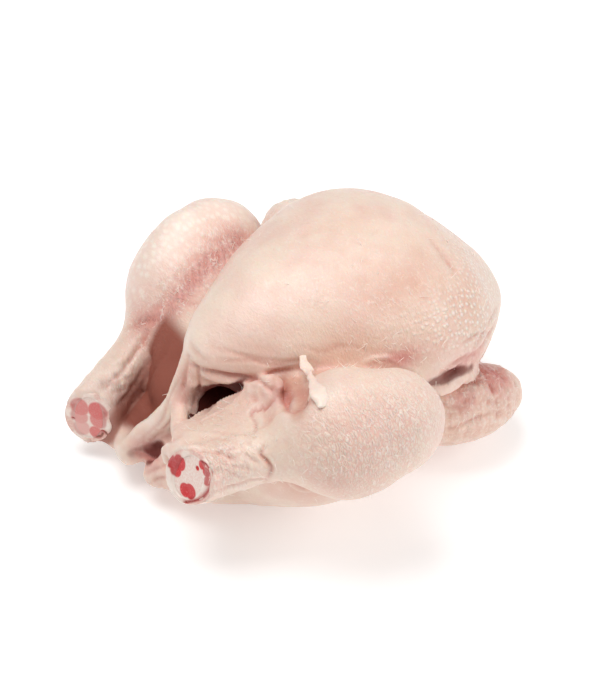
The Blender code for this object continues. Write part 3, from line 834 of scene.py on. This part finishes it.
plateaus = calculate(relief, "MULTIPLY_ADD", ramp_up(relief, folds, 0.0, 0.40), 1.0,
                     times(relief, ramp_up(relief, small_folds, 0.0, 0.35), 0.45))
long_folds = wandering(relief, millimetres(relief, (1.3, 0.7, 0.6), (0, 0, 12)), 0.15, 4.0)
strokes = times(relief, contour_lines(relief, long_folds, STROKES_PER_MM, 0.038, 1.0, 0.2),
                ramp_up(relief, noise(relief, place, 0.25), 0.44, 0.58))
slanted = wandering(relief, millimetres(relief, (1.0, 0.55, 0.8), (25, 20, 35)), 0.2, 3.0)
grain = noise(relief, slanted, GRAIN_PER_MM, 4.0, 0.65)
height = calculate(relief, "MULTIPLY_ADD", bumps, 0.8, times(relief, grain, 0.45))
height = calculate(relief, "MULTIPLY_ADD", times(relief, plateaus, given["Net"]), 0.50, height)
height = calculate(relief, "MULTIPLY_ADD", times(relief, strokes, given["Net"]), 0.2, height)
wrinkles = times(relief, grooves, given["Net"])
result = relief.nodes.new("NodeGroupOutput").inputs
for name, value in (("Height", height), ("Bumps", bumps), ("Wrinkles", wrinkles), ("Grain", grain),
                    ("Strokes", strokes)):
    feed(relief, result[name], value)

# The reds and the blush below also serve as painted shade in creases, hollows and insides, and the pale one
# as painted highlight on humps.
CREAM = (0.83, 0.655, 0.535)
PINK = (0.80, 0.565, 0.47)
PALE = (0.92, 0.80, 0.71)
CREASE_RED_AND_SHADE = (0.60, 0.20, 0.15)
RAW_RED = (0.60, 0.17, 0.15)
BLUSH_AND_SHADE = (0.70, 0.41, 0.30)
STROKE = (0.97, 0.86, 0.78)
GROOVE_RED = (0.76, 0.38, 0.30)
INSIDE_SHADE_RED = (0.16, 0.022, 0.013)
SHADED_RED = (0.30, 0.085, 0.055)
skin_material, tree, surface = new_material("skin")
place = millimetres(tree)
patterns = add_node(tree, "ShaderNodeGroup", node_tree=relief)
feed(tree, patterns.inputs["Goose"], share_of(tree, "goose"))
feed(tree, patterns.inputs["Net"], share_of(tree, "net"))
grain = patterns.outputs["Grain"]
mottle = noise(tree, place, 0.22, 4.0, 0.6)
dots = rest_of(tree, ramp_up(tree, cells(tree, wandering(
    tree, millimetres(tree, (1.0, 0.7, 0.7)), 0.3, 2.0), 0.36, "F1", 0.8), 0.12, 0.66))
dotted = blend_colour(tree, dots, (0.86, 0.63, 0.54), (0.95, 0.84, 0.75))
colour = blend_colour(tree, ramp_up(tree, noise(tree, place, 0.035, 2.0), 0.38, 0.62), CREAM, PINK)
# Colours laid over each other in this order, each with its share and how strongly it covers. The blush,
# ridge, crease, shaded and inside layers paint shade and highlight along with the skin's own tones.
for share, strength, above in [
        (ramp_up(tree, mottle, 0.45, 0.75), 0.4, PINK),
        (share_of(tree, "blush_and_shade"), 0.8, BLUSH_AND_SHADE),
        (ramp_up(tree, grain, 0.55, 0.75), 0.45, PALE),
        (ramp_up(tree, rest_of(tree, grain), 0.55, 0.75), 0.30, BLUSH_AND_SHADE),
        (share_of(tree, "dots"), 0.75, dotted),
        (share_of(tree, "goose"), 0.32, BLUSH_AND_SHADE),
        (patterns.outputs["Bumps"], 1.0, PALE),
        (share_of(tree, "ridge"), 0.6, PALE),
        (share_of(tree, "crease"), 0.75, CREASE_RED_AND_SHADE),
        (share_of(tree, "raw"), ramp_up(tree, mottle, 0.2, 0.5), RAW_RED),
        (patterns.outputs["Wrinkles"], 0.62, GROOVE_RED),
        (patterns.outputs["Strokes"],
         calculate(tree, "MULTIPLY_ADD", share_of(tree, "net"), 0.65, 0.12), STROKE),
        (share_of(tree, "shaded"), 1.0, SHADED_RED),
        (share_of(tree, "inside"), 1.0, INSIDE_SHADE_RED)]:
    colour = blend_colour(tree, times(tree, share, strength), colour, above)
feed(tree, surface.inputs["Base Color"], colour)
dull = calculate(tree, "MAXIMUM", share_of(tree, "shaded"), share_of(tree, "inside"))
feed(tree, surface.inputs["Roughness"], calculate(
    tree, "MULTIPLY_ADD", dull, 0.4, calculate(tree, "MULTIPLY_ADD", mottle, 0.25, 0.28)))
feed(tree, surface.inputs["Coat Weight"], calculate(tree, "MULTIPLY_ADD", dull, -0.25, 0.25))
add_relief(tree, surface, patterns.outputs["Height"], 1.0, 0.0006)
surface.inputs["Subsurface Weight"].default_value = 0.25
surface.inputs["Subsurface Radius"].default_value = (1.0, 0.35, 0.2)
surface.inputs["Subsurface Scale"].default_value = 0.002
surface.inputs["Coat Roughness"].default_value = 0.4
skin.data.materials.append(skin_material)
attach(skin, "root")
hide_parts("bird")

# Sawn leg bones. Each is a shaft that swells to the two-lobed knuckle at the hock, sawn through, so that red
# marrow or pink spongy bone shows inside a white rim.
BONE_ROWS = [(0.28, 1.0), (0.50, 1.0), (0.70, 1.1), (0.88, 1.8), (1.00, 1.85)]
BONE_SHAFT = 0.0042
# The sections of bone are pinched in by this share, and higher than wide by the factor.
BONE_PINCH = 0.12
BONE_RISE = 1.1
BONE_END_RADIUS = BONE_ROWS[-1][1] * BONE_SHAFT
# Spots on the sawn faces, each as across, up, radius, height (all mm) and share of red.
MARROW = {
    "left": [(-11.2, 0.8, 3.2, -0.4, 1.0), (-7.2, 3.0, 3.7, -0.5, 1.0), (-8.4, -1.4, 3.2, -0.4, 0.95),
             (-1.2, -7.2, 3.2, -0.4, 1.0), (2.0, -6.2, 3.6, -0.5, 1.0),
             (3.6, 6.6, 1.1, -0.7, 1.0), (6.2, 9.8, 2.3, -0.3, 0.85), (9.2, 8.2, 2.4, -0.3, 0.85),
             (10.8, 4.6, 2.1, -0.3, 0.8)],
    "right": [(-4.6, 4.6, 4.8, 0.5, 0.60), (-4.8, -0.4, 4.4, 0.3, 0.50), (4.4, 4.8, 4.9, 0.6, 0.68),
              (4.6, -0.4, 4.4, 0.4, 0.60), (-3.8, -6.6, 4.2, 0.4, 0.42), (3.2, -7.4, 3.4, 0.3, 0.64)],
}


def across_leg(side):
    """Two directions square to the leg, the second one upward."""
    axis = leg_axis(side)
    beside = unit(np.cross(axis, [0, 0, 1.0]))
    return beside, np.cross(beside, axis)


def bone_section(side, turn):
    """A section of two lobes, 1 - pinch * cos 2t, square to the leg, for a radius of 1."""
    beside, upright = across_leg(side)
    pinch = 1 - BONE_PINCH * np.cos(2 * turn)
    return pinch[:, None] * (np.cos(turn)[:, None] * beside + BONE_RISE * np.sin(turn)[:, None] * upright)


def face_places(side, points):
    """Places on the sawn face in mm: across and up from its middle."""
    centre, normal, across, up = hock_frame(side)
    return np.stack([(points - centre) @ across, (points - centre) @ up], axis=-1) * 1000


def raised_spots(places, spots_given):
    """Height in mm and share of red, each a sum or a maximum of bells round the given spots."""
    height = np.zeros(places.shape[:-1])
    red = np.zeros(places.shape[:-1])
    for across, up, radius, rise, redness in spots_given:
        gap = np.linalg.norm(places - np.array([across, up]), axis=-1) / radius
        height += rise * np.exp(-gap**4)
        red = np.maximum(red, redness * (1 - step_up(gap, 0.85, 1.15)))
    return height, red


def sawn_bone(side, name):
    """A two-lobed bar along the leg, stopped short at the slanting cut, and a sawn face of rings sunk or
    raised at its spots."""
    knee, hock = np.array(LEGS[side]["knee"]), np.array(LEGS[side]["hock"])
    normal = hock_frame(side)[1]
    axis = leg_axis(side)
    section = bone_section(side, full_turn(96))
    end = section * BONE_END_RADIUS
    edge = slid_to_cut(side, end)
    rings = []
    for share, swell in through(BONE_ROWS, 30):
        ring = knee + (hock - knee) * share + section * swell * BONE_SHAFT
        past = (ring - edge) @ axis + 0.001 + 0.001 * (1 - share)
        rings.append(ring - np.maximum(past, 0)[:, None] * axis)
    rings = [rings[0] * (1 - k) + rings[0].mean(0) * k for k in (0.95, 0.6, 0.3)] + rings
    for share in np.linspace(1, 0.03, 40):
        ring = slid_to_cut(side, end * share)
        height = raised_spots(face_places(side, ring), MARROW[side])[0]
        rings.append(ring + (height / 1000)[:, None] * normal)
    bone = closed_loft(name, np.array(rings))
    points = read_all(bone.data.vertices, "co", 3)
    red = raised_spots(face_places(side, points), MARROW[side])[1]
    paint_share(bone, "red", red * step_up((points - hock) @ normal, -0.0025, -0.0012))
    shade_smooth(bone)
    return bone


def speckled_material(name, pieces_per_mm, relief_per_mm):
    """A moist sawn surface with its speckle and fine relief, still without its colours."""
    material, tree, surface = new_material(name)
    place = millimetres(tree)
    speckle = noise(tree, place, pieces_per_mm, 3.0, 0.6)
    feed(tree, surface.inputs["Roughness"], calculate(tree, "MULTIPLY_ADD", speckle, 0.3, 0.2))
    add_relief(tree, surface, noise(tree, place, relief_per_mm, 3.0, 0.6), 0.8, 0.0004)
    return material, tree, surface, speckle


bone_material, tree, surface, speckle = speckled_material("sawn_bone", 1.1, 1.6)
white_bone = blend_colour(tree, ramp_up(tree, speckle, 0.35, 0.7), (0.88, 0.64, 0.56), (0.95, 0.81, 0.73))
marrow = blend_colour(tree, ramp_up(tree, speckle, 0.52, 0.72), (0.66, 0.022, 0.026), (0.80, 0.12, 0.12))
edge_of_red = calculate(tree, "ADD", share_of(tree, "red"),
                        calculate(tree, "MULTIPLY_ADD", speckle, 0.5, -0.25))
feed(tree, surface.inputs["Base Color"], blend_colour(
    tree, ramp_up(tree, edge_of_red, 0.05, 0.95), white_bone, marrow))
for side in LEGS:
    bone = sawn_bone(side, side + "_sawn_bone")
    bone.data.materials.append(bone_material)
    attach(bone, "root")
    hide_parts(side + "_leg_bone")

# Sawn flesh round each bone. White tendon, gristle and skin fat in a ring, cut through, with red lines where
# blood shows between the parts.
GRISTLE = {
    "left": [(5.0, 1.0, 4.2, 1.2, 0), (9.5, 0.5, 2.8, 0.7, 0), (-3.0, 8.5, 3.5, 0.8, 0),
             (10.0, 13.0, 3.5, 0.8, 0), (5.0, -10.0, 3.0, 0.5, 0), (-9.0, -9.0, 4.0, 0.9, 0),
             (-4.0, -14.0, 4.0, 0.8, 0), (-13.0, -4.0, 3.0, 0.7, 0)],
    "right": [(-9.5, 0.0, 3.0, 0.8, 0), (9.5, -2.0, 3.0, 0.9, 0), (0.0, 11.5, 3.5, 0.7, 0),
              (-5.0, -11.0, 3.2, 0.8, 0), (8.0, 9.0, 3.2, 0.6, 0), (-8.0, 8.5, 3.0, 0.6, 0)],
}
BLOOD_LINES = {
    "left": [[(3.6, 5.6), (4.2, 8.0), (5.0, 10.4)], [(5.0, 10.6), (8.5, 11.6), (12.0, 9.5), (13.6, 6.0)],
             [(13.2, 5.0), (12.4, 1.0), (9.0, -5.2), (5.0, -9.0), (0.5, -12.5)]],
    "right": [[(-0.6, 10.0), (-0.4, 5.0), (-0.8, 0.0), (0.4, -6.0), (2.0, -10.0)],
              [(-8.5, -2.4), (-4.0, -3.0), (0.0, -3.5)], [(0.5, -6.0), (4.0, -5.0), (8.0, -6.5)],
              [(2.0, -9.5), (5.0, -9.5), (6.5, -7.5)]],
}
# The ring of flesh reaches to this share of the shank's radius, and its underside lies this far behind the
# cut.
FLESH_SHARE = 0.92
FLESH_DEPTH = 0.0022
# The depth in mm of the lines where blood shows.
BLOOD_LINE_DEPTH = 0.9


def line_share(places, lines, width):
    """1 on the lines, falling off as a bell of the given width in mm."""
    closest = np.full(places.shape[:-1], 1e9)
    for line in lines:
        for point in through(line, 40):
            closest = np.minimum(closest, np.linalg.norm(places - point, axis=-1))
    return np.exp(-(closest / width)**2)


def sawn_flesh(side, name):
    """A closed ring: out over the sawn face from the bone to the rim of skin, and back underneath."""
    beside, upright = across_leg(side)
    turn = full_turn(200)
    inner = bone_section(side, turn) * (BONE_END_RADIUS + 0.00005)
    outer = FLESH_SHARE * HOCK_RADIUS * (np.cos(turn)[:, None] * beside + np.sin(turn)[:, None] * upright)
    normal = hock_frame(side)[1]
    out, back = np.linspace(0, 1, 22), np.linspace(1, 0, 5)
    rings = []
    for share in out:
        ring = slid_to_cut(side, inner + (outer - inner) * share)
        places = face_places(side, ring)
        height = raised_spots(places, GRISTLE[side])[0] + 0.25 * lattice_noise(ring, 0.0016, 21)
        height -= BLOOD_LINE_DEPTH * line_share(places, BLOOD_LINES[side], 0.7)
        crown = step_up(share, 0, 0.25) * (1 - step_up(share, 0.8, 1.0))
        height = height * crown + raised_spots(places, MARROW[side])[0] * (1 - crown)
        rings.append(ring + height[:, None] / 1000 * normal)
    rings += [slid_to_cut(side, inner + (outer - inner) * share, FLESH_DEPTH) for share in back]
    rings = np.array(rings)
    flesh = closed_ring(name, rings)
    places = face_places(side, rings.reshape(-1, 3))
    paint_share(flesh, "red", np.maximum(line_share(places, BLOOD_LINES[side], 0.75),
                                         raised_spots(places, MARROW[side])[1]))
    by_bone = np.repeat(step_up(-np.concatenate([out, back]), -0.35, -0.05), len(turn))
    paint_share(flesh, "white", np.maximum(np.minimum(raised_spots(places, GRISTLE[side])[0], 1), by_bone))
    shade_smooth(flesh)
    return flesh


flesh_material, tree, surface, speckle = speckled_material("sawn_flesh", 0.8, 1.5)
colour = blend_colour(tree, ramp_up(tree, speckle, 0.35, 0.65), (0.80, 0.46, 0.40), (0.86, 0.62, 0.52))
colour = blend_colour(tree, share_of(tree, "white"), colour, (0.93, 0.82, 0.73))
colour = blend_colour(tree, share_of(tree, "red"), colour, (0.52, 0.045, 0.045))
feed(tree, surface.inputs["Base Color"], colour)
for side in LEGS:
    flesh = sawn_flesh(side, side + "_sawn_flesh")
    flesh.data.materials.append(flesh_material)
    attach(flesh, "root")

# Torn strand of skin. A strip of loose skin that hangs from the edge of the breast to the left leg over a
# deep pocket, thin in the middle and fanned out where it clings to the leg.
STRAND_ROWS = [
    (-0.026, -0.029, 0.0850, 0.0010, 0.0004), (-0.029, -0.034, 0.0825, 0.0013, 0.0007),
    (-0.033, -0.042, 0.0825, 0.0027, 0.0008), (-0.0365, -0.049, 0.0855, 0.0012, 0.0009),
    (-0.041, -0.058, 0.0895, 0.0019, 0.0010), (-0.0455, -0.069, 0.0925, 0.0038, 0.0010),
    (-0.049, -0.075, 0.0912, 0.0018, 0.0005)]
strand = closed_loft("torn_skin_strand", limb_loft(STRAND_ROWS, 60, 24))
points = read_all(strand.data.vertices, "co", 3)
points += 0.0008 * np.stack([lattice_noise(points, 0.0035, seed) for seed in (31, 32, 33)], axis=1)
strand.data.vertices.foreach_set("co", points.ravel())
strand.data.update()
paint_share(strand, "ridge", np.full(len(points), 0.9))
shade_smooth(strand)
strand.data.materials.append(skin_material)
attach(strand, "root")

# Fine hairs and quill ends that plucking left in the skin, pale and thin, standing off it at a slant.
random = np.random.default_rng(7)
HAIR_COUNT = 360
HAIR_SIDES = 5
HAIR_RINGS = 6
HAIR_THICKNESS = 0.00013
HAIR_SPOTS = [
    (1.0, (0, -70, 60), (70, 40, 50)), (1.0, (-20, 60, 80), (50, 30, 30)),
    (0.5, (50, -20, 90), (50, 50, 30)), (1.0, (-80, -50, 60), (20, 20, 20))]
hairy = bells(mm, HAIR_SPOTS).sum(0) * (mm[:, 2] > 8) * (inside < 0.1)
roots = random.choice(len(moved), HAIR_COUNT, replace=False, p=hairy / hairy.sum())
slant = random.normal(size=(HAIR_COUNT, 3))
slant = unit(0.55 * facing[roots] + unit(slant - np.sum(slant * facing[roots], 1)[:, None] * facing[roots]))
curl = unit(np.cross(slant, random.normal(size=(HAIR_COUNT, 3))))
length = random.uniform(0.0015, 0.0045, HAIR_COUNT)[:, None, None]
along = np.linspace(-0.1, 1, HAIR_RINGS)[None, :, None]
middle = moved[roots][:, None] + length * (along * slant[:, None] + 0.25 * along**2 * curl[:, None])
turn = full_turn(HAIR_SIDES)[None, :, None]
ring = np.cos(turn) * curl[:, None] + np.sin(turn) * np.cross(slant, curl)[:, None]
thickness = HAIR_THICKNESS * (1 - 0.7 * np.clip(along, 0, 1))
hair_points = (middle[:, :, None] + thickness[..., None] * ring[:, None]).reshape(-1, 3)
here = np.arange((HAIR_RINGS - 1) * HAIR_SIDES).reshape(-1, HAIR_SIDES)
after = np.roll(here, -1, axis=1)
walls = np.stack([here, after, after + HAIR_SIDES, here + HAIR_SIDES], axis=2).reshape(-1, 4)
tip = np.arange(HAIR_SIDES)
ends = np.array([tip[::-1], (HAIR_RINGS - 1) * HAIR_SIDES + tip])
offsets = (np.arange(HAIR_COUNT) * HAIR_RINGS * HAIR_SIDES)[:, None, None]
hair_mesh = bpy.data.meshes.new("hairs")
hair_mesh.from_pydata(hair_points.tolist(), [], (walls + offsets).reshape(-1, 4).tolist()
                      + (ends + offsets).reshape(-1, HAIR_SIDES).tolist())
hairs = add_object("hairs", hair_mesh)
hair_material, tree, surface = new_material("hair")
feed(tree, surface.inputs["Base Color"], blend_colour(
    tree, noise(tree, millimetres(tree), 0.3), (0.90, 0.76, 0.66), (0.97, 0.90, 0.84)))
surface.inputs["Roughness"].default_value = 0.4
hair_mesh.materials.append(hair_material)
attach(hairs, "root")

# Floor, light and camera. A white table under soft light from the upper left, seen as in the photograph.
floor_mesh = bpy.data.meshes.new("floor")
floor_mesh.from_pydata([(-3, -3, 0), (3, -3, 0), (3, 3, 0), (-3, 3, 0)], [], [(0, 1, 2, 3)])
floor = add_object("floor", floor_mesh)
floor_material, tree, surface = new_material("white_table")
for name, value in (("Base Color", (0.85, 0.85, 0.85)), ("Emission Color", (1, 1, 1)),
                    ("Emission Strength", 0.33), ("Roughness", 0.9), ("Specular IOR Level", 0.0)):
    feed(tree, surface.inputs[name], value)
floor_mesh.materials.append(floor_material)

world = bpy.data.worlds.new("studio")
bpy.context.scene.world = world
world.use_nodes = True
background = world.node_tree.nodes["Background"]
background.inputs["Color"].default_value = (1, 1, 1, 1)
background.inputs["Strength"].default_value = 0.38
bpy.context.scene.view_settings.view_transform = "Standard"


def soft_light(name, place, aim, size, power):
    """A square area light at a place, turned towards the aim."""
    light = bpy.data.lights.new(name, "AREA")
    light.size = size
    light.energy = power
    lamp = add_object(name, light)
    lamp.location = place
    lamp.rotation_euler = (Vector(aim) - Vector(place)).to_track_quat("-Z", "Y").to_euler()


soft_light("overhead", (-0.20, 0.12, 1.10), (0, 0, 0.05), 0.7, 8.1)
soft_light("front", (0.55, -0.85, 0.75), (0, 0, 0.05), 0.6, 4.6)

azimuth, elevation, distance = math.radians(-35), math.radians(38), 0.9
aim = Vector((-0.007, 0.0, 0.059))
back = Vector((math.sin(azimuth) * math.cos(elevation), -math.cos(azimuth) * math.cos(elevation),
               math.sin(elevation)))
camera_data = bpy.data.cameras.new("camera")
camera_data.lens = 105.88
camera_data.sensor_width = 36
camera_data.clip_start = 0.01
camera = add_object("camera", camera_data)
camera.location = aim + back * distance
camera.rotation_euler = (-back).to_track_quat("-Z", "Y").to_euler()
bpy.context.scene.camera = camera
